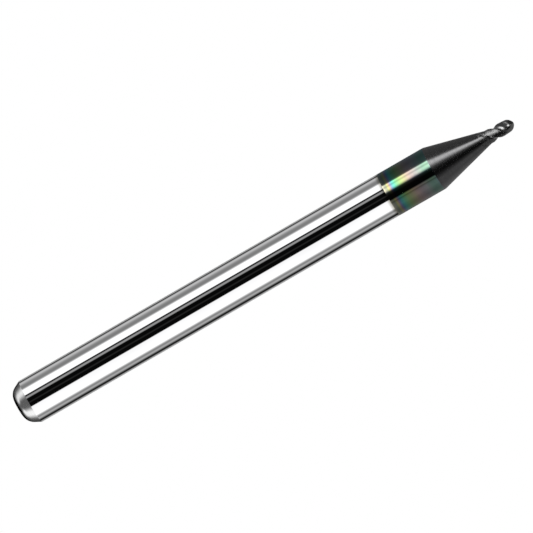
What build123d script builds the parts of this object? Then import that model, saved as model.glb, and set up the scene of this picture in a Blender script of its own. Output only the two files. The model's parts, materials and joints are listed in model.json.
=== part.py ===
"""Miniature ball-nose end mill, ground from one straight carbide blank.

Millimetres. The origin is the centre of the flat end face of the shank and +Z runs along the tool
axis to the cutting tip, so the tool stands on its shank. The blank is one piece on the real tool;
it is split here at the planes where its ground surfaces change, and the zones meet face to face.
"""
from build123d import *
import os
from math import cos, pi, radians, sin, sqrt, tan

# ---- driving dimensions ----------------------------------------------------------------------
SHANK_DIAMETER = 3.175          # standard 1/8 inch tool shank
OVERALL_LENGTH = 38.78          # end face to the tip of the ball

REAR_CHAMFER_LENGTH = 0.93      # along the axis
REAR_CHAMFER_ANGLE = 27.5       # to the axis
REAR_EDGE_RADIUS = 0.90         # rounds the chamfer into the end face

COATED_LENGTH = 9.78            # tip to the rear edge of the coating
CONE_LENGTH = 6.19              # tip to the corner between the shank cylinder and the cone
CONE_HALF_ANGLE = 14.6
CONE_BLEND_RADIUS = 0.5         # rounds the corner between the cylinder and the cone

CUTTER_DIAMETER = 0.95          # ball diameter, and the diameter over the side teeth
STUB_DIAMETER = 0.986           # plain cylinder between the relieved teeth and the cone
FLUTES = 2
HELIX_ANGLE = 43.0              # right hand, for a cutter that turns from +X towards +Y
RELIEF_LENGTH = 1.50            # tip to where the relief behind the cutting edges ends
RELIEF_RUN_OUT = 0.30           # over which the relief dies away
FULL_DEPTH_LENGTH = 0.65        # tip to where the flutes begin to rise
RUN_OUT_LENGTH = 2.40           # tip to where the flutes have faded out
CUTTER_ZONE_LENGTH = 2.55       # tip to the plane where the cutter zone meets the cone zone
CLOCKING_ANGLE = 5.0            # of a cutting edge from +X, one ball diameter below the tip

# ---- tooth form: angles back from the cutting edge, and shares of the local radius ------------
PRIMARY_LAND_ANGLE = 14.0
HEEL_ANGLE = 72.0
FADED_HEEL_ANGLE = 137.0        # the lands widen to this where the flutes fade out
RAKE_FOOT_ANGLE = 5.0           # how far the foot of the cutting face lies ahead of its edge
PRIMARY_DROP = 0.01             # of the radius, at the back of the primary land
RELIEF_DROP = 0.045             # half way along the secondary relief
HEEL_DROP = 0.10
RAKE_FOOT_DROP = 0.10
GULLET_DROP = 0.40
GULLET_PLACE = 0.66             # share of the way from the heel to the foot of the cutting face

# ---- sections that the cutter is lofted through ------------------------------------------------
BALL_SECTIONS = 18
SIDE_SECTIONS = 72

# ---- worked out from the above ---------------------------------------------------------------
SHANK_RADIUS = SHANK_DIAMETER / 2
CUTTER_RADIUS = CUTTER_DIAMETER / 2
STUB_RADIUS = STUB_DIAMETER / 2
CONE_SLOPE = tan(radians(CONE_HALF_ANGLE))
END_FACE_RADIUS = SHANK_RADIUS - REAR_CHAMFER_LENGTH * tan(radians(REAR_CHAMFER_ANGLE))

COATING_EDGE = OVERALL_LENGTH - COATED_LENGTH
CONE_CORNER = OVERALL_LENGTH - CONE_LENGTH
BLEND_START = CONE_CORNER - CONE_BLEND_RADIUS * tan(radians(CONE_HALF_ANGLE / 2))
CUTTER_ZONE_START = OVERALL_LENGTH - CUTTER_ZONE_LENGTH

TOOTH_PITCH = 2 * pi / FLUTES
TWIST_PER_MM = tan(radians(HELIX_ANGLE)) / CUTTER_RADIUS
TIP_FLAT_RADIUS = 0.02 * CUTTER_DIAMETER    # chisel left between the teeth on the axis
FULLY_FADED = 0.995             # a trace of flute, so that every section keeps its corners


def blend(start, end, share):
    """Value between start and end."""
    return start + (end - start) * share


def ease(depth, start, end):
    """0 before start, 1 after end, and a smooth rise between them."""
    share = min(1.0, max(0.0, (depth - start) / (end - start)))
    return share * share * (3 - 2 * share)


def cone_radius(depth):
    """Radius of the cone at a distance below the tip of the tool."""
    return SHANK_RADIUS - (CONE_LENGTH - depth) * CONE_SLOPE


def relief_end(depth):
    """0 where the teeth are relieved, 1 behind them."""
    return ease(depth, RELIEF_LENGTH, RELIEF_LENGTH + RELIEF_RUN_OUT)


def envelope_radius(depth):
    """Radius over the teeth: ball, side teeth, plain stub, then cone."""
    if depth < CUTTER_RADIUS:
        return sqrt(CUTTER_RADIUS**2 - (CUTTER_RADIUS - depth) ** 2)
    return max(blend(CUTTER_RADIUS, STUB_RADIUS, relief_end(depth)), cone_radius(depth))


def polar(radius, angle):
    """Point of a section, with the angle counted from +X towards +Y."""
    return (radius * cos(angle), radius * sin(angle))


def draw_tooth(depth, edge_angle):
    """Draw one tooth and the flute behind it, from its cutting edge to the next one."""
    radius = envelope_radius(depth)
    relieved = max(1 - relief_end(depth), 1 - FULLY_FADED)
    faded = ease(depth, FULL_DEPTH_LENGTH, RUN_OUT_LENGTH) * FULLY_FADED

    def corner(drop, angle_back):
        return polar(radius * (1 - drop), edge_angle - angle_back)

    land = radians(PRIMARY_LAND_ANGLE)
    heel = radians(blend(HEEL_ANGLE, FADED_HEEL_ANGLE, faded))
    foot = TOOTH_PITCH - radians(RAKE_FOOT_ANGLE)
    gullet = blend(heel, foot, GULLET_PLACE)
    foot_drop = RAKE_FOOT_DROP * (1 - faded)

    cutting_edge = corner(0, 0)
    land_back = corner(PRIMARY_DROP * relieved, land)
    heel_point = corner(HEEL_DROP * relieved, heel)
    gullet_floor = corner(GULLET_DROP * (1 - faded), gullet)
    rake_foot = corner(foot_drop, foot)
    next_edge = corner(0, TOOTH_PITCH)

    ThreePointArc(cutting_edge, corner(PRIMARY_DROP * relieved / 2, land / 2), land_back)
    ThreePointArc(land_back, corner(RELIEF_DROP * relieved, (land + heel) / 2), heel_point)
    ThreePointArc(heel_point, gullet_floor, rake_foot)
    ThreePointArc(rake_foot, corner(foot_drop / 2, (foot + TOOTH_PITCH) / 2), next_edge)


# ---- shank: bare polished cylinder with a chamfered end ---------------------------------------
with BuildPart() as shank:
    with BuildSketch(Plane.XZ):
        with BuildLine():
            Polyline(
                (0, 0),
                (END_FACE_RADIUS, 0),
                (SHANK_RADIUS, REAR_CHAMFER_LENGTH),
                (SHANK_RADIUS, COATING_EDGE),
                (0, COATING_EDGE),
                close=True,
            )
        make_face()
    revolve(axis=Axis.Z)
    fillet(shank.edges().filter_by(GeomType.CIRCLE).sort_by(Axis.Z)[0], REAR_EDGE_RADIUS)
shank.part.label = "shank"

# ---- coated collar: the front end of the shank cylinder, under the coating --------------------
with BuildPart() as coated_collar:
    with BuildSketch(Plane.XY.offset(COATING_EDGE)):
        Circle(SHANK_RADIUS)
    extrude(amount=BLEND_START - COATING_EDGE)
coated_collar.part.label = "coated_collar"

# ---- taper neck: the cone from the shank diameter down to the cutter --------------------------
with BuildPart() as taper_neck:
    with BuildSketch(Plane.XZ):
        with BuildLine():
            rounded_corner = JernArc(
                start=(SHANK_RADIUS, BLEND_START),
                tangent=(0, 1),
                radius=CONE_BLEND_RADIUS,
                arc_size=CONE_HALF_ANGLE,
            )
            Polyline(
                rounded_corner @ 1,
                (cone_radius(CUTTER_ZONE_LENGTH), CUTTER_ZONE_START),
                (0, CUTTER_ZONE_START),
                (0, BLEND_START),
                rounded_corner @ 0,
            )
        make_face()
    revolve(axis=Axis.Z)
taper_neck.part.label = "taper_neck"

# ---- ball cutter: helical teeth on the ball and on the short cylinder behind it ---------------
smallest_tilt = TIP_FLAT_RADIUS / CUTTER_RADIUS
ball_tilts = [blend(smallest_tilt, pi / 2, i / BALL_SECTIONS) for i in range(BALL_SECTIONS)]
ball_depths = [CUTTER_RADIUS * (1 - cos(tilt)) for tilt in ball_tilts]
side_depths = [
    blend(CUTTER_RADIUS, CUTTER_ZONE_LENGTH, i / SIDE_SECTIONS) for i in range(SIDE_SECTIONS + 1)
]

with BuildPart() as ball_cutter:
    for depth in ball_depths + side_depths:
        first_edge = radians(CLOCKING_ANGLE) + (CUTTER_DIAMETER - depth) * TWIST_PER_MM
        with BuildSketch(Plane.XY.offset(OVERALL_LENGTH - depth)):
            with BuildLine():
                for tooth in range(FLUTES):
                    draw_tooth(depth, first_edge - tooth * TOOTH_PITCH)
            make_face()
    loft()
ball_cutter.part.label = "ball_cutter"

# ---- one file for each zone --------------------------------------------------------------------
os.makedirs("parts", exist_ok=True)
for zone in (shank, coated_collar, taper_neck, ball_cutter):
    export_step(zone.part, f"parts/{zone.part.label}.step")
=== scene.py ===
"""Visual model of a miniature ball-nose end mill that stands on the end of its shank.

Metres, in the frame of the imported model: the origin is the centre of the shank's end face and +Z
runs along the tool to its tip. Lengths of the tool are written in millimetres and turned into
metres where a vertex is made; the light, the floor and the camera are in metres. Angles about the
tool are counted from -Y towards +X in the lighting, and from +X towards +Y in the tooth form.
"""
import json
from math import atan2, cos, degrees, pi, radians, sin, sqrt, tan

import bmesh
import bpy
from mathutils import Matrix, Vector


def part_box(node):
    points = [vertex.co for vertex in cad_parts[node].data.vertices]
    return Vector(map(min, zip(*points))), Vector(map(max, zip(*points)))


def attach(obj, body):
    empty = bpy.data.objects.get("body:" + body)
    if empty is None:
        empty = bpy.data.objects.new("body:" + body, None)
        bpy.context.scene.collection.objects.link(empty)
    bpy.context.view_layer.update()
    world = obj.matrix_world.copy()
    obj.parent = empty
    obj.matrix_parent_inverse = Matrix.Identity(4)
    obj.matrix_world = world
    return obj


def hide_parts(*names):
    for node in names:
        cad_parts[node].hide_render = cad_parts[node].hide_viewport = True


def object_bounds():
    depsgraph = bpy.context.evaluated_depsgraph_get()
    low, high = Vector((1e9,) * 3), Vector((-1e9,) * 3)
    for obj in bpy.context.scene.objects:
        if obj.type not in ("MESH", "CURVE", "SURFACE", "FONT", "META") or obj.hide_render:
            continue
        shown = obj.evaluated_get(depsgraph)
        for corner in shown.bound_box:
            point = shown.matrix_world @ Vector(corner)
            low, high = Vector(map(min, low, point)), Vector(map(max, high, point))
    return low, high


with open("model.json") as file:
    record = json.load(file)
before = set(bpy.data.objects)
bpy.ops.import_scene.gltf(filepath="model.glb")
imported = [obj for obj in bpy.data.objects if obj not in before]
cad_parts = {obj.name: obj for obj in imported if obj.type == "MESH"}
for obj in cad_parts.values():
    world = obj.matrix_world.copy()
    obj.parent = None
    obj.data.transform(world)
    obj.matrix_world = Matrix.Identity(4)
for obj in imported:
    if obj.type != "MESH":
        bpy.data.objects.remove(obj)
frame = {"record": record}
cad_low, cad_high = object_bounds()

MM = 0.001

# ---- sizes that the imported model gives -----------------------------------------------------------
OVERALL_LENGTH = cad_high.z / MM
SHANK_RADIUS = frame["record"]["mounts"][0]["dims"]["r_mm"]
COATING_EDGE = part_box("coated_collar")[0].z / MM
BLEND_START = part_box("taper_neck")[0].z / MM
CUTTER_ZONE_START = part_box("ball_cutter")[0].z / MM

# ---- sizes of the ground form --------------------------------------------------------------------
REAR_CHAMFER_LENGTH = 0.93
REAR_CHAMFER_ANGLE = 27.5
REAR_EDGE_RADIUS = 0.90         # rounds the chamfer into the end face
CHAMFER_CORNER_RADIUS = 0.03    # breaks the corner between the chamfer and the cylinder
CONE_LENGTH = 6.19              # tip to the corner between the cylinder and the cone
CONE_HALF_ANGLE = 14.6
CONE_BLEND_RADIUS = 0.5         # rounds that corner

CUTTER_DIAMETER = 0.95
STUB_DIAMETER = 0.986           # plain cylinder between the relieved teeth and the cone
FLUTES = 2
HELIX_ANGLE = 43.0
RELIEF_LENGTH = 1.50            # tip to where the relief behind the cutting edges ends
RELIEF_RUN_OUT = 0.30           # over which the relief dies away
FULL_DEPTH_LENGTH = 0.65        # tip to where the flutes begin to rise
RUN_OUT_LENGTH = 2.40           # tip to where the flutes have faded out
CLOCKING_ANGLE = 5.0            # of a cutting edge from +X, one ball diameter below the tip

# ---- tooth form: angles back from the cutting edge, and shares of the local radius ---------------
PRIMARY_LAND_ANGLE = 14.0
HEEL_ANGLE = 72.0
FADED_HEEL_ANGLE = 137.0        # the lands widen to this where the flutes fade out
RAKE_FOOT_ANGLE = 5.0           # how far the foot of the cutting face lies ahead of its edge
PRIMARY_DROP = 0.01
RELIEF_DROP = 0.045
HEEL_DROP = 0.10
RAKE_FOOT_DROP = 0.10
GULLET_DROP = 0.40
GULLET_PLACE = 0.66             # share of the way from the heel to the foot of the cutting face
FULLY_FADED = 0.995             # a trace of flute is left where the flutes have faded out

# ---- where the finish of the surface changes, and where shade is painted -------------------------
FILM_FADE = 0.24                # over which the film thins out on the bare shank
BAND_LENGTH = 2.50              # tip to the end of the light band that carries on from each land
BAND_END_ANGLE = 75.0           # back of the band, behind the relief
BAND_LEAD_ANGLE = 17.0          # how far the band comes to lie ahead of the cutting edge
PAINTED_SHADE_START = 1.65               # tip to the start of the painted shade in front of the band: a dark line for a step's shadow
PAINTED_SHADE_ANGLE = 13.0
CONE_FINISH_START = 1.5         # tip to where the flutes' finish begins to give way to the cone's
CONE_FINISH_END = 1.8

# ---- fineness of the meshes ----------------------------------------------------------------------
ROUND_SEGMENTS = 720
ARC_STEPS = 16
LAND_STEPS = 8
RELIEF_STEPS = 20
GULLET_STEPS = 52
RAKE_STEPS = 6
BALL_ROWS = 48
SIDE_ROWS = 170
SMALLEST_TILT = 0.03            # in radians, of the row of the ball next to its tip
SUPPORT_SHARE = 0.5             # of its radius, from a rounding to the row beside it
NECK_SUPPORT = 0.03             # from the rounding of the cone to the row beside it
STRAIGHT_LIMIT = 1e-12          # an arc flatter than this is a straight line
SHARP_ANGLE = radians(24)

# ---- worked out from the above -------------------------------------------------------------------
CUTTER_RADIUS = CUTTER_DIAMETER / 2
STUB_RADIUS = STUB_DIAMETER / 2
CONE_SLOPE = tan(radians(CONE_HALF_ANGLE))
END_FACE_RADIUS = SHANK_RADIUS - REAR_CHAMFER_LENGTH * tan(radians(REAR_CHAMFER_ANGLE))
CUTTER_ZONE_LENGTH = OVERALL_LENGTH - CUTTER_ZONE_START
TOOTH_PITCH = 2 * pi / FLUTES
TWIST_PER_MM = tan(radians(HELIX_ANGLE)) / CUTTER_RADIUS


# ---- node helpers --------------------------------------------------------------------------------
MIX_SHARE = 0                   # places of the colour sockets on a Mix node
MIX_FIRST = 6
MIX_SECOND = 7
MIX_RESULT = 2
NOISE_LOW = 0.3                 # nearly all of a noise lies between these
NOISE_HIGH = 0.7


class Tree:
    """Short way to add and link nodes."""

    def __init__(self, owner):
        owner.use_nodes = True
        self.tree = owner.node_tree
        self.tree.nodes.clear()

    def add(self, kind, inputs=(), **settings):
        """A new node, with its settings, and its inputs as values or as sockets to link."""
        node = self.tree.nodes.new(kind)
        for name, value in settings.items():
            setattr(node, name, value)
        for name, value in dict(inputs).items():
            if isinstance(value, bpy.types.NodeSocket):
                self.tree.links.new(value, node.inputs[name])
            else:
                node.inputs[name].default_value = value
        return node

    def math(self, operation, first, second=0.0):
        """Result of one math operation."""
        return self.add("ShaderNodeMath", {0: first, 1: second}, operation=operation).outputs[0]

    def spread(self, value, low, high, to_low=0.0, to_high=1.0):
        """The value moved from one range to another, and held inside it."""
        inputs = {"Value": value, "From Min": low, "From Max": high}
        inputs.update({"To Min": to_low, "To Max": to_high})
        return self.add("ShaderNodeMapRange", inputs).outputs["Result"]

    def ramp(self, value, stops):
        """Colour ramp from (place, colour) stops with places from 0 to 1."""
        node = self.add("ShaderNodeValToRGB", {"Fac": value})
        elements = node.color_ramp.elements
        while len(elements) > 1:
            elements.remove(elements[-1])
        elements[0].position = stops[0][0]
        elements[0].color = (*stops[0][1], 1)
        for place, colour in stops[1:]:
            elements.new(place).color = (*colour, 1)
        return node.outputs["Color"]

    def mix(self, share, first, second):
        """Two colours mixed."""
        inputs = {MIX_SHARE: share, MIX_FIRST: first, MIX_SECOND: second}
        return self.add("ShaderNodeMix", inputs, data_type="RGBA").outputs[MIX_RESULT]

    def product(self, first, second):
        """Two colours multiplied."""
        node = self.add("ShaderNodeVectorMath", {0: first, 1: second}, operation="MULTIPLY")
        return node.outputs["Vector"]

    def object_point(self, scale=(1, 1, 1)):
        """The point in the object's own frame, stretched."""
        point = self.add("ShaderNodeTexCoord").outputs["Object"]
        return self.add("ShaderNodeMapping", {"Vector": point, "Scale": scale}).outputs["Vector"]

    def noise(self, scale, detail=2.0, stretch=(1, 1, 1), roughness=0.5):
        """Noise over the object, with its size in repeats to the metre."""
        inputs = {"Vector": self.object_point(stretch), "Scale": scale, "Detail": detail}
        inputs["Roughness"] = roughness
        return self.add("ShaderNodeTexNoise", inputs).outputs["Fac"]

    def varied(self, noise, low, high):
        """Noise as a value from low to high."""
        return self.spread(noise, NOISE_LOW, NOISE_HIGH, low, high)

    def relief(self, height, strength, distance):
        """Normal of a surface with fine marks in it."""
        inputs = {"Height": height, "Strength": strength, "Distance": distance}
        return self.add("ShaderNodeBump", inputs).outputs["Normal"]

    def surface(self, shader):
        """The shader as the material's surface."""
        self.add("ShaderNodeOutputMaterial", {"Surface": shader})


def metal(tree, colour, roughness, normal):
    """Bare or coated metal."""
    inputs = {"Base Color": colour, "Roughness": roughness, "Metallic": 1.0, "Normal": normal}
    tree.surface(tree.add("ShaderNodeBsdfPrincipled", inputs).outputs["BSDF"])


# ---- materials -----------------------------------------------------------------------------------
# Of these, step is painted shade: a dark line for the shadow of a step that neither the CAD nor the
# mesh has.
ZONES = ("land", "cone", "step")    # shares from 0 to 1 that each face of the cutter carries
THIN_FILM = (0.28, 0.27, 0.23)      # colour at the end of the bare shank, where the film is thin


def grey(level):
    """A colour without a hue."""
    return (level, level, level)


def bare_carbide():
    """Mirror-polished carbide, faintly cloudy, with polishing lines too fine to break a reflection."""
    material = bpy.data.materials.new("bare_carbide")
    tree = Tree(material)
    clouds = tree.noise(900, detail=3, stretch=(1, 1, 0.3))
    colour = tree.ramp(clouds, [(0.3, (0.70, 0.70, 0.705)), (0.7, (0.74, 0.74, 0.745))])
    height = tree.add("ShaderNodeSeparateXYZ", {0: tree.object_point()}).outputs["Z"]
    film = tree.spread(height, (COATING_EDGE - FILM_FADE) * MM, COATING_EDGE * MM)
    colour = tree.mix(film, colour, (*THIN_FILM, 1))
    roughness = tree.varied(tree.noise(2500), 0.012, 0.020)
    lines = tree.noise(600, detail=4, stretch=(1, 1, 60))
    metal(tree, colour, roughness, tree.relief(lines, strength=0.12, distance=1e-7))
    return material


def ground_carbide():
    """Ground end of the shank: satin, with marks that run round the axis."""
    material = bpy.data.materials.new("ground_carbide")
    tree = Tree(material)
    marks = tree.noise(500, detail=5, stretch=(1, 1, 40), roughness=0.7)
    colour = tree.ramp(marks, [(0.3, grey(0.58)), (0.7, grey(0.68))])
    roughness = tree.varied(tree.noise(4000), 0.14, 0.19)
    metal(tree, colour, roughness, tree.relief(marks, strength=0.25, distance=1e-6))
    return material


# Colour of the film over the collar, as (share of the collar's length from the film's edge, colour)
INTERFERENCE = [
    (0.000, (0.290, 0.275, 0.235)),
    (0.030, (0.165, 0.165, 0.140)),
    (0.070, (0.135, 0.145, 0.115)),
    (0.090, (0.195, 0.205, 0.095)),
    (0.112, (0.225, 0.190, 0.110)),
    (0.132, (0.190, 0.135, 0.150)),
    (0.155, (0.110, 0.125, 0.215)),
    (0.180, (0.065, 0.175, 0.220)),
    (0.215, (0.055, 0.225, 0.200)),
    (0.260, (0.085, 0.230, 0.140)),
    (0.340, (0.145, 0.215, 0.095)),
    (0.440, (0.205, 0.195, 0.120)),
    (0.540, (0.220, 0.165, 0.155)),
    (0.620, (0.195, 0.155, 0.165)),
    (0.730, (0.165, 0.165, 0.175)),
    (0.870, (0.115, 0.185, 0.155)),
    (0.960, (0.125, 0.200, 0.165)),
    (1.000, (0.125, 0.185, 0.185)),
]


def coated_polished():
    """Thin dark film on the polished cylinder; its colour follows its growing thickness."""
    material = bpy.data.materials.new("coated_polished")
    tree = Tree(material)
    height = tree.add("ShaderNodeSeparateXYZ", {0: tree.object_point()}).outputs["Z"]
    place = tree.spread(height, COATING_EDGE * MM, BLEND_START * MM)
    drift = tree.spread(tree.noise(700, detail=3), 0.0, 1.0, -0.05, 0.05)
    drift = tree.math("MULTIPLY", drift, tree.spread(place, 0.05, 0.5, 0.1, 1.0))
    place = tree.math("ADD", place, drift)
    tilt = tree.noise(900, detail=4, stretch=(1, 1, 1.6), roughness=0.65)
    shade = tree.ramp(tilt, [(0.3, (0.80, 0.86, 0.90)), (0.7, (1.12, 1.10, 1.04))])
    colour = tree.product(tree.ramp(place, INTERFERENCE), shade)
    roughness = tree.varied(tree.noise(3000), 0.025, 0.045)
    lines = tree.noise(600, detail=4, stretch=(1, 1, 50))
    metal(tree, colour, roughness, tree.relief(lines, strength=0.15, distance=2e-7))
    return material


def coated_ground():
    """The same film over ground carbide: satin, dark, with grinding lines round the cone."""
    material = bpy.data.materials.new("coated_ground")
    tree = Tree(material)
    lines = tree.noise(450, detail=6, stretch=(1, 1, 30), roughness=0.75)
    grain = tree.noise(9000, detail=3)
    shade = tree.mix(0.4, lines, grain)
    colour = tree.ramp(shade, [(0.35, (0.105, 0.105, 0.108)), (0.65, (0.155, 0.154, 0.155))])
    roughness = tree.varied(grain, 0.16, 0.21)
    metal(tree, colour, roughness, tree.relief(shade, strength=0.2, distance=3e-7))
    return material


def coated_cutter():
    """Film over the fluted end: satin on the relieved lands, brighter and glossier in the flutes, with
    painted shade in the step zone: a near-black line where a step's shadow would fall.
    """
    flute_roughness = 0.13
    cone_roughness = 0.19
    land_roughness = 0.25
    painted_shade_level = 0.05
    material = bpy.data.materials.new("coated_cutter")
    tree = Tree(material)
    zone = {}
    for name in ZONES:
        zone[name] = tree.add("ShaderNodeAttribute", attribute_name=name).outputs["Fac"]
    marks = tree.noise(1500, detail=5, stretch=(1, 1, 6), roughness=0.7)
    flute = tree.ramp(marks, [(0.35, grey(0.17)), (0.65, grey(0.20))])
    cone = tree.ramp(marks, [(0.35, grey(0.115)), (0.65, grey(0.145))])
    land = tree.ramp(marks, [(0.35, grey(0.100)), (0.65, grey(0.120))])
    colour = tree.mix(zone["cone"], flute, cone)
    colour = tree.mix(zone["land"], colour, land)
    # Painted shade: the step zone gets a near-black colour where a step's shadow would fall; the mesh
    # has no step there.
    colour = tree.mix(zone["step"], colour, (*grey(painted_shade_level), 1))
    roughness = tree.spread(zone["cone"], 0.0, 1.0, flute_roughness, cone_roughness)
    roughness = tree.spread(zone["land"], 0.0, 1.0, roughness, land_roughness)
    metal(tree, colour, roughness, tree.relief(marks, strength=0.15, distance=1e-7))
    return material


# ---- mesh helpers --------------------------------------------------------------------------------
def finish_piece(name, mesh_builder, materials, node):
    """The built mesh as a smooth piece that stands for its CAD node."""
    mesh = bpy.data.meshes.new(name)
    bmesh.ops.recalc_face_normals(mesh_builder, faces=mesh_builder.faces[:])
    mesh_builder.to_mesh(mesh)
    mesh_builder.free()
    for material in materials:
        mesh.materials.append(material)
    mesh.shade_smooth()
    mesh.set_sharp_from_angle(angle=SHARP_ANGLE)
    piece = bpy.data.objects.new(name, mesh)
    bpy.context.scene.collection.objects.link(piece)
    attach(piece, "root")
    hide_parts(node)
    return piece


def swung(centre, arm, swing):
    """End of an arm that is turned about its centre."""
    x = centre.x + (arm.x * cos(swing) - arm.y * sin(swing))
    y = centre.y + (arm.x * sin(swing) + arm.y * cos(swing))
    return (x, y)


def rounded(corners, radii):
    """Profile through the corners, with each inner corner rounded and held by a row on each side."""
    points = [corners[0]]
    for before, corner, after, radius in zip(corners, corners[1:], corners[2:], radii):
        if radius == 0:
            points.append(corner)
            continue
        into = (Vector(corner) - Vector(before)).normalized()
        out = (Vector(after) - Vector(corner)).normalized()
        turn = into.angle(out)
        reach = radius * tan(turn / 2)
        side = 1 if into.x * out.y - into.y * out.x > 0 else -1
        start = Vector(corner) - into * reach
        centre = start + Vector((-into.y, into.x)) * radius * side
        points.append(tuple(start - into * radius * SUPPORT_SHARE))
        for step in range(ARC_STEPS + 1):
            swing = side * turn * step / ARC_STEPS
            points.append(swung(centre, start - centre, swing))
        points.append(tuple(Vector(corner) + out * (reach + radius * SUPPORT_SHARE)))
    points.append(corners[-1])
    return points


def revolve(profile):
    """Closed mesh of (radius, height) points turned about the axis; the first and last lie on it."""
    builder = bmesh.new()
    rings = []
    for radius, height in profile[1:-1]:
        ring = []
        for step in range(ROUND_SEGMENTS):
            angle = 2 * pi * step / ROUND_SEGMENTS
            point = Vector((radius * cos(angle), radius * sin(angle), height))
            ring.append(builder.verts.new(point * MM))
        rings.append(ring)
    skin(builder, rings)
    close_end(builder, rings[0], profile[0][1])
    close_end(builder, rings[-1], profile[-1][1])
    return builder


def skin(builder, rings):
    """Quads between rings of the same length."""
    faces = []
    for lower, upper in zip(rings, rings[1:]):
        for step in range(len(lower)):
            after = (step + 1) % len(lower)
            faces.append(builder.faces.new((lower[step], lower[after], upper[after], upper[step])))
    return faces


def close_end(builder, ring, height):
    """Fan from a ring to a point on the axis."""
    centre = builder.verts.new((0, 0, height * MM))
    for step in range(len(ring)):
        builder.faces.new((ring[step], ring[(step + 1) % len(ring)], centre))


# ---- shank, collar and neck ----------------------------------------------------------------------
shank_profile = rounded(
    [
        (0, 0),
        (END_FACE_RADIUS, 0),
        (SHANK_RADIUS, REAR_CHAMFER_LENGTH),
        (SHANK_RADIUS, COATING_EDGE),
        (0, COATING_EDGE),
    ],
    [REAR_EDGE_RADIUS, CHAMFER_CORNER_RADIUS, 0],
)
shank_builder = revolve(shank_profile)
for face in shank_builder.faces:
    if face.calc_center_median().z < REAR_CHAMFER_LENGTH * MM:
        face.material_index = 1
shank = finish_piece(
    "polished_shank", shank_builder, [bare_carbide(), ground_carbide()], "shank"
)

collar_profile = [
    (0, COATING_EDGE),
    (SHANK_RADIUS, COATING_EDGE),
    (SHANK_RADIUS, (COATING_EDGE + BLEND_START) / 2),
    (SHANK_RADIUS, BLEND_START),
    (0, BLEND_START),
]
collar = finish_piece(
    "collar", revolve(collar_profile), [coated_polished()], "coated_collar"
)

neck_radius = SHANK_RADIUS - (CONE_LENGTH - CUTTER_ZONE_LENGTH) * CONE_SLOPE
neck_profile = [(0, BLEND_START), (SHANK_RADIUS, BLEND_START)]
for step in range(1, ARC_STEPS + 1):
    swing = radians(CONE_HALF_ANGLE) * step / ARC_STEPS
    height = BLEND_START + CONE_BLEND_RADIUS * sin(swing)
    neck_profile.append((SHANK_RADIUS - CONE_BLEND_RADIUS * (1 - cos(swing)), height))
cone_start_radius, cone_start = neck_profile[-1]
neck_profile.append((cone_start_radius - NECK_SUPPORT * CONE_SLOPE, cone_start + NECK_SUPPORT))
neck_profile.append((neck_radius, CUTTER_ZONE_START))
neck_profile.append((0, CUTTER_ZONE_START))
neck = finish_piece(
    "cone_neck", revolve(neck_profile), [coated_ground()], "taper_neck"
)


# ---- ball cutter ---------------------------------------------------------------------------------
def blend(start, end, share):
    """Value between start and end."""
    return start + (end - start) * share


def ease(depth, start, end):
    """0 before start, 1 after end, and a smooth rise between them."""
    share = min(1.0, max(0.0, (depth - start) / (end - start)))
    return share * share * (3 - 2 * share)


def relief_end(depth):
    """0 where the teeth are relieved, 1 behind them."""
    return ease(depth, RELIEF_LENGTH, RELIEF_LENGTH + RELIEF_RUN_OUT)


def edge_angle_at(depth):
    """Angle of the first cutting edge at a distance below the tip."""
    return radians(CLOCKING_ANGLE) + (CUTTER_DIAMETER - depth) * TWIST_PER_MM


def envelope_radius(depth):
    """Radius over the teeth: ball, side teeth, plain stub, then cone."""
    if depth < CUTTER_RADIUS:
        return sqrt(CUTTER_RADIUS**2 - (CUTTER_RADIUS - depth) ** 2)
    cone = SHANK_RADIUS - (CONE_LENGTH - depth) * CONE_SLOPE
    return max(blend(CUTTER_RADIUS, STUB_RADIUS, relief_end(depth)), cone)


def turn_between(first, second):
    """Turn from one arm to another, from 0 to a full turn."""
    return atan2(first.x * second.y - first.y * second.x, first.dot(second)) % (2 * pi)


def arc(start, middle, end, steps):
    """Points of the arc through three points, without its last one."""
    chord = Vector(end) - Vector(start)
    offset = Vector(middle) - Vector(start)
    four_areas = 2 * (chord.x * offset.y - chord.y * offset.x)
    if abs(four_areas) < STRAIGHT_LIMIT:
        return [tuple(Vector(start) + chord * step / steps) for step in range(steps)]
    chord_square = chord.length_squared
    offset_square = offset.length_squared
    centre_x = (offset.y * chord_square - chord.y * offset_square) / four_areas
    centre_y = (chord.x * offset_square - offset.x * chord_square) / four_areas
    centre = Vector(start) + Vector((centre_x, centre_y))
    first = Vector(start) - centre
    turn = turn_between(first, Vector(end) - centre)
    if turn_between(first, Vector(middle) - centre) > turn:
        turn -= 2 * pi
    return [swung(centre, first, turn * step / steps) for step in range(steps)]


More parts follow.
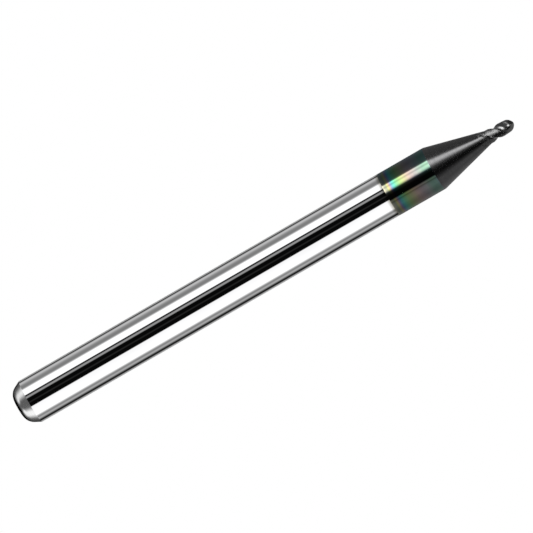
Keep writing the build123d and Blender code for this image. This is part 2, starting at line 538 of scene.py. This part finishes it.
def tooth(depth, edge_angle):
    """Points of one tooth and the flute behind it, from its cutting edge to the next one."""
    radius = envelope_radius(depth)
    relieved = max(1 - relief_end(depth), 1 - FULLY_FADED)
    faded = ease(depth, FULL_DEPTH_LENGTH, RUN_OUT_LENGTH) * FULLY_FADED

    def corner(drop, angle_back):
        reach = radius * (1 - drop)
        return (reach * cos(edge_angle - angle_back), reach * sin(edge_angle - angle_back))

    land = radians(PRIMARY_LAND_ANGLE)
    heel = radians(blend(HEEL_ANGLE, FADED_HEEL_ANGLE, faded))
    foot = TOOTH_PITCH - radians(RAKE_FOOT_ANGLE)
    gullet = blend(heel, foot, GULLET_PLACE)
    foot_drop = RAKE_FOOT_DROP * (1 - faded)

    cutting_edge = corner(0, 0)
    mid_land = corner(PRIMARY_DROP * relieved / 2, land / 2)
    land_back = corner(PRIMARY_DROP * relieved, land)
    mid_relief = corner(RELIEF_DROP * relieved, (land + heel) / 2)
    heel_point = corner(HEEL_DROP * relieved, heel)
    gullet_floor = corner(GULLET_DROP * (1 - faded), gullet)
    rake_foot = corner(foot_drop, foot)
    mid_rake = corner(foot_drop / 2, (foot + TOOTH_PITCH) / 2)
    next_edge = corner(0, TOOTH_PITCH)

    points = arc(cutting_edge, mid_land, land_back, LAND_STEPS)
    points += arc(land_back, mid_relief, heel_point, RELIEF_STEPS)
    points += arc(heel_point, gullet_floor, rake_foot, GULLET_STEPS)
    points += arc(rake_foot, mid_rake, next_edge, RAKE_STEPS)
    return points


def face_zones(depth, behind_edge):
    """Share of each zone on a face, from its depth and its angle in degrees behind the edge."""
    heel = blend(HEEL_ANGLE, FADED_HEEL_ANGLE, ease(depth, FULL_DEPTH_LENGTH, RUN_OUT_LENGTH))
    band_end = blend(heel, BAND_END_ANGLE, relief_end(depth))
    next_band = degrees(TOOTH_PITCH) - BAND_LEAD_ANGLE * ease(depth, PAINTED_SHADE_START, RUN_OUT_LENGTH)
    in_band = not band_end < behind_edge < next_band and depth < BAND_LENGTH
    # Painted shade: a dark strip just ahead of the next band, standing for the shadow of a step that
    # the mesh lacks.
    beside_band = next_band - PAINTED_SHADE_ANGLE < behind_edge < next_band
    in_painted_shade = beside_band and PAINTED_SHADE_START < depth < BAND_LENGTH
    cone_finish = ease(depth, CONE_FINISH_START, CONE_FINISH_END)
    return {"land": float(in_band), "cone": cone_finish, "step": float(in_painted_shade)}


depths = []
for row in range(BALL_ROWS):
    tilt = blend(SMALLEST_TILT, pi / 2, row / BALL_ROWS)
    depths.append(CUTTER_RADIUS * (1 - cos(tilt)))
for row in range(SIDE_ROWS + 1):
    depths.append(blend(CUTTER_RADIUS, CUTTER_ZONE_LENGTH, row / SIDE_ROWS))

cutter_builder = bmesh.new()
zone_layers = {name: cutter_builder.faces.layers.float.new(name) for name in ZONES}
rings = []
for depth in depths:
    outline = []
    for number in range(FLUTES):
        outline += tooth(depth, edge_angle_at(depth) - number * TOOTH_PITCH)
    height = OVERALL_LENGTH - depth
    rings.append([cutter_builder.verts.new(Vector((x, y, height)) * MM) for x, y in outline])
for face in skin(cutter_builder, rings):
    centre = face.calc_center_median() / MM
    depth = OVERALL_LENGTH - centre.z
    behind_edge = degrees((edge_angle_at(depth) - atan2(centre.y, centre.x)) % TOOTH_PITCH)
    for name, share in face_zones(depth, behind_edge).items():
        face[zone_layers[name]] = share
close_end(cutter_builder, rings[0], OVERALL_LENGTH)
close_end(cutter_builder, rings[-1], CUTTER_ZONE_START)
cutter = finish_piece(
    "fluted_ball", cutter_builder, [coated_cutter()], "ball_cutter"
)


# ---- light ---------------------------------------------------------------------------------------
TENT_RADIUS = 0.30
TENT_STEP = 0.01                # from one tent to the next
TENT_SEGMENTS = 96
TENT_RINGS = 48
TENT_GAIN = 8.0                 # levels are divided by this to fit a colour ramp
HALF_TURN = 180


def tinted(level, tint):
    """Colour of a stop, from its level and what follows it: nothing, or a tint."""
    return tuple(level * share for share in tint[0]) if tint else grey(level)


def light_tent(name, receivers, bands, spots=(), order=0, outermost=False):
    """Soft light all round the tool for some pieces only.

    Bands are (elevation, stops) from low to high, with (angle about the tool, level) stops that may
    carry a tint; spots are (angle, elevation, inner radius, outer radius, level). Every angle is in
    degrees. Tents lie inside each other in their order, and the outermost lets nothing through.
    """
    builder = bmesh.new()
    bmesh.ops.create_uvsphere(
        builder,
        u_segments=TENT_SEGMENTS,
        v_segments=TENT_RINGS,
        radius=TENT_RADIUS + TENT_STEP * order,
    )
    mesh = bpy.data.meshes.new(name)
    builder.to_mesh(mesh)
    builder.free()
    material = bpy.data.materials.new(name)
    tree = Tree(material)
    from_centre = tree.add("ShaderNodeVectorMath", {0: tree.object_point()}, operation="NORMALIZE")
    point = tree.add("ShaderNodeSeparateXYZ", {0: from_centre.outputs["Vector"]})
    toward_camera = tree.math("MULTIPLY", point.outputs["Y"], -1.0)
    angle = tree.math("ARCTAN2", point.outputs["X"], toward_camera)

    def strip(stops):
        """Colour all round the tool, as one ramp for each half turn: both use the stop at 0."""
        left = []
        right = []
        for turn, level, *tint in stops:
            stop_colour = tinted(level / TENT_GAIN, tint)
            if turn <= 0:
                left.append((1 + turn / HALF_TURN, stop_colour))
            if turn >= 0:
                right.append((turn / HALF_TURN, stop_colour))
        left_colour = tree.ramp(tree.spread(angle, -pi, 0), left)
        right_colour = tree.ramp(tree.spread(angle, 0, pi), right)
        return tree.mix(tree.math("GREATER_THAN", angle), left_colour, right_colour)

    colour = strip(bands[0][1])
    for (low, _), (high, stops) in zip(bands, bands[1:]):
        share = tree.spread(point.outputs["Z"], sin(radians(low)), sin(radians(high)))
        colour = tree.mix(share, colour, strip(stops))
    for turn, elevation, inner, outer, level in spots:
        flat_share = cos(radians(elevation))
        toward = (
            sin(radians(turn)) * flat_share,
            -cos(radians(turn)) * flat_share,
            sin(radians(elevation)),
        )
        inputs = {0: from_centre.outputs["Vector"], 1: toward}
        nearness = tree.add("ShaderNodeVectorMath", inputs, operation="DOT_PRODUCT").outputs["Value"]
        share = tree.spread(nearness, cos(radians(outer)), cos(radians(inner)))
        colour = tree.mix(share, colour, (*grey(level / TENT_GAIN), 1))
    glow = tree.add("ShaderNodeEmission", {"Color": colour, "Strength": TENT_GAIN}).outputs[0]
    if not outermost:
        clear = tree.add("ShaderNodeBsdfTransparent").outputs[0]
        glow = tree.add("ShaderNodeAddShader", {0: glow, 1: clear}).outputs[0]
    tree.surface(glow)
    material.cycles.emission_sampling = "NONE"
    mesh.materials.append(material)
    tent = bpy.data.objects.new(name, mesh)
    tent.location = (0, 0, OVERALL_LENGTH * MM / 2)
    bpy.context.scene.collection.objects.link(tent)
    tent.visible_camera = False
    tent.visible_shadow = False
    lit = bpy.data.collections.new(name + "_receivers")
    for receiver in receivers:
        lit.objects.link(receiver)
    tent.light_linking.receiver_collection = lit


# Tints of a level
COOL = (0.86, 1.04, 1.16)
WARM = (1.03, 1.02, 0.88)

# Levels round each piece, as (angle about the tool, level) or (angle about the tool, level, tint)
SHANK_LIGHT = [
    (-180, 0.10), (-160, 0.40), (-150, 0.55), (-140, 0.05), (-133, 0.03), (-126, 0.42),
    (-119, 0.74), (-112, 0.65), (-103, 0.42), (-95, 0.30), (-86, 0.28), (-80, 0.31), (-75, 0.65),
    (-69, 1.5), (-41, 1.5), (-38.5, 0.01), (-34, 0.003), (-28, 0.42), (-24, 0.42),
    (-19.5, 0.003), (-4, 0.003), (0, 0.022), (2, 0.022), (6, 0.003), (23, 0.003), (25.5, 1.3),
    (76, 1.5), (80, 1.1), (85, 0.57), (90, 0.33), (95, 0.31), (103, 0.52), (108, 0.57),
    (113, 0.34), (121, 0.04), (127, 0.01), (133, 0.01), (140, 0.10), (148, 0.50), (160, 0.50),
    (180, 0.10),
]
CHAMFER_LIGHT = [
    (-180, 0.0), (-156, 0.0), (-147, 0.08), (-134, 0.13), (-124, 0.19),
    (-117, 0.32), (-109, 0.55), (-100, 0.95), (-90, 1.35), (-76, 1.35), (-66, 0.95), (-58, 0.60),
    (-48, 0.30), (-36, 0.16), (0, 0.16), (26, 0.16), (38, 0.30), (48, 0.62), (57, 1.05),
    (66, 1.5), (90, 1.5), (99, 1.1), (106, 0.78), (114, 0.42), (122, 0.20), (134, 0.12),
    (147, 0.08), (156, 0.0), (180, 0.0),
]
CHAMFER_UNDER_LIGHT = [
    (-180, 0.0), (-148, 0.0), (-124, 0.5), (-100, 1.1), (-76, 1.35), (-66, 0.95), (-58, 0.60),
    (-48, 0.30), (-36, 0.16), (0, 0.16), (26, 0.16), (38, 0.30), (48, 0.62), (57, 1.05),
    (66, 1.5), (105, 1.3), (126, 0.5), (148, 0.0), (180, 0.0),
]
CHAMFER_NADIR_LIGHT = [(-180, 0.17), (0, 0.17), (180, 0.17)]
COLLAR_LIGHT = [
    (-180, 0.06, COOL), (-160, 0.14, COOL), (-135, 0.18, COOL), (-95, 0.16, COOL),
    (-66, 0.22, COOL), (-59, 0.30), (-54, 0.9), (-50, 4.9, WARM), (-45, 4.4, WARM),
    (-40, 3.2, WARM), (-37, 3.4, WARM), (-32, 4.7, WARM), (-26, 4.7, WARM), (-20, 3.4, WARM),
    (-15, 1.3), (-11, 0.16, COOL), (-6, 0.05, COOL), (0, 0.025), (6, 0.008), (28, 0.006),
    (31, 0.2, WARM), (35, 0.50, WARM), (38, 0.50, WARM), (43, 0.28, WARM), (50, 0.50), (58, 0.58),
    (72, 0.58), (85, 0.46), (104, 0.36), (122, 0.36), (140, 0.36), (155, 0.25), (180, 0.10),
]
CONE_LIGHT = [
    (-180, 0.15), (-150, 0.20), (-110, 0.24), (-75, 0.20), (-60, 0.22), (-54, 0.45), (-47, 2.8),
    (-42, 3.3), (-34, 3.2), (-27, 2.3), (-19, 0.8), (-11, 0.22), (-4, 0.12), (0, 0.07),
    (8, 0.03), (30, 0.02), (42, 0.10), (52, 0.20), (62, 0.34), (78, 0.36), (92, 0.32),
    (112, 0.42), (135, 0.40), (160, 0.28), (180, 0.15),
]
CUTTER_LOW_LIGHT = [(-180, 0.30), (-60, 0.22), (0, 0.22), (30, 0.30), (100, 0.35), (180, 0.35)]
CUTTER_LIGHT = [
    (-180, 0.30), (-120, 0.30), (-102, 0.5), (-93, 1.3), (-76, 2.2), (-66, 3.2), (-58, 4.5),
    (-24, 4.5), (-16, 2.4), (-6, 1.5), (0, 1.1), (8, 0.4), (15, 0.05), (74, 0.03), (92, 0.30),
    (120, 0.40), (180, 0.35),
]
CUTTER_HIGH_LIGHT = [
    (-180, 0.20), (-100, 0.25), (-60, 0.32), (-50, 2.8), (-42, 3.2), (-32, 3.0), (-20, 0.8),
    (-11, 0.22), (0, 0.06), (34, 0.04), (48, 0.35), (110, 0.40), (180, 0.35),
]
CUTTER_TOP_LIGHT = [(-180, 0.15), (-60, 0.15), (0, 0.15), (40, 0.35), (100, 0.40), (180, 0.30)]
BALL_SPOT = (71, -26, 8, 16, 4.8)

light_tent(
    "shank_light",
    [shank],
    [
        (-84, CHAMFER_NADIR_LIGHT),
        (-72, CHAMFER_UNDER_LIGHT),
        (-56, CHAMFER_UNDER_LIGHT),
        (-48, CHAMFER_LIGHT),
        (-16, CHAMFER_LIGHT),
        (-12, SHANK_LIGHT),
    ],
)
light_tent("collar_light", [collar], [(0, COLLAR_LIGHT)], order=1)
light_tent("cone_light", [neck], [(0, CONE_LIGHT)], order=2)
light_tent(
    "cutter_light",
    [cutter],
    [
        (-16, CUTTER_LOW_LIGHT),
        (-6, CUTTER_LIGHT),
        (14, CUTTER_LIGHT),
        (24, CUTTER_HIGH_LIGHT),
        (30, CUTTER_HIGH_LIGHT),
        (40, CUTTER_TOP_LIGHT),
    ],
    spots=[BALL_SPOT],
    order=3,
    outermost=True,
)

# ---- pale floor and white surroundings -----------------------------------------------------------
WHITE = (1, 1, 1, 1)
FLOOR_SIZE = 4.0
FLOOR_GAP = 0.00002
FLOOR_CELLS = 8
floor_builder = bmesh.new()
bmesh.ops.create_grid(
    floor_builder, x_segments=FLOOR_CELLS, y_segments=FLOOR_CELLS, size=FLOOR_SIZE / 2
)
floor_mesh = bpy.data.meshes.new("floor")
floor_builder.to_mesh(floor_mesh)
floor_builder.free()
floor_material = bpy.data.materials.new("floor")
floor_tree = Tree(floor_material)
floor_tree.surface(floor_tree.add("ShaderNodeEmission", {"Color": WHITE, "Strength": 1.0}).outputs[0])
floor_material.cycles.emission_sampling = "NONE"
floor_mesh.materials.append(floor_material)
floor = bpy.data.objects.new("floor", floor_mesh)
floor.location = (0, 0, cad_low.z - FLOOR_GAP)
floor.visible_glossy = False
floor.visible_shadow = False
bpy.context.scene.collection.objects.link(floor)

world = bpy.data.worlds.new("white_surroundings")
world_tree = Tree(world)
background = world_tree.add("ShaderNodeBackground", {"Color": WHITE, "Strength": 1.0})
world_tree.add("ShaderNodeOutputWorld", {"Surface": background.outputs[0]})
world.cycles.sampling_method = "NONE"
bpy.context.scene.world = world
bpy.context.scene.view_settings.view_transform = "Standard"

# ---- camera --------------------------------------------------------------------------------------
CAMERA_ELEVATION = radians(4.9)
CAMERA_ROLL = radians(30)       # of the tool's axis above the picture's horizontal
CAMERA_DISTANCE = 1.502
CLIP_START = 0.01
LENS_MM = 1500
SENSOR_MM = 36
TARGET = Vector((0.0784, 0, 19.399)) * MM

forward = Vector((0, cos(CAMERA_ELEVATION), -sin(CAMERA_ELEVATION)))
tool_axis = Vector((0, sin(CAMERA_ELEVATION), cos(CAMERA_ELEVATION)))
across = Vector((1, 0, 0))
image_right = tool_axis * cos(CAMERA_ROLL) + across * sin(CAMERA_ROLL)
image_up = tool_axis * sin(CAMERA_ROLL) - across * cos(CAMERA_ROLL)
camera_data = bpy.data.cameras.new("camera")
camera_data.lens = LENS_MM
camera_data.sensor_width = SENSOR_MM
camera_data.clip_start = CLIP_START
camera = bpy.data.objects.new("camera", camera_data)
camera_place = Matrix((image_right, image_up, -forward)).transposed().to_4x4()
camera_place.translation = TARGET - forward * CAMERA_DISTANCE
camera.matrix_world = camera_place
bpy.context.scene.collection.objects.link(camera)
bpy.context.scene.camera = camera
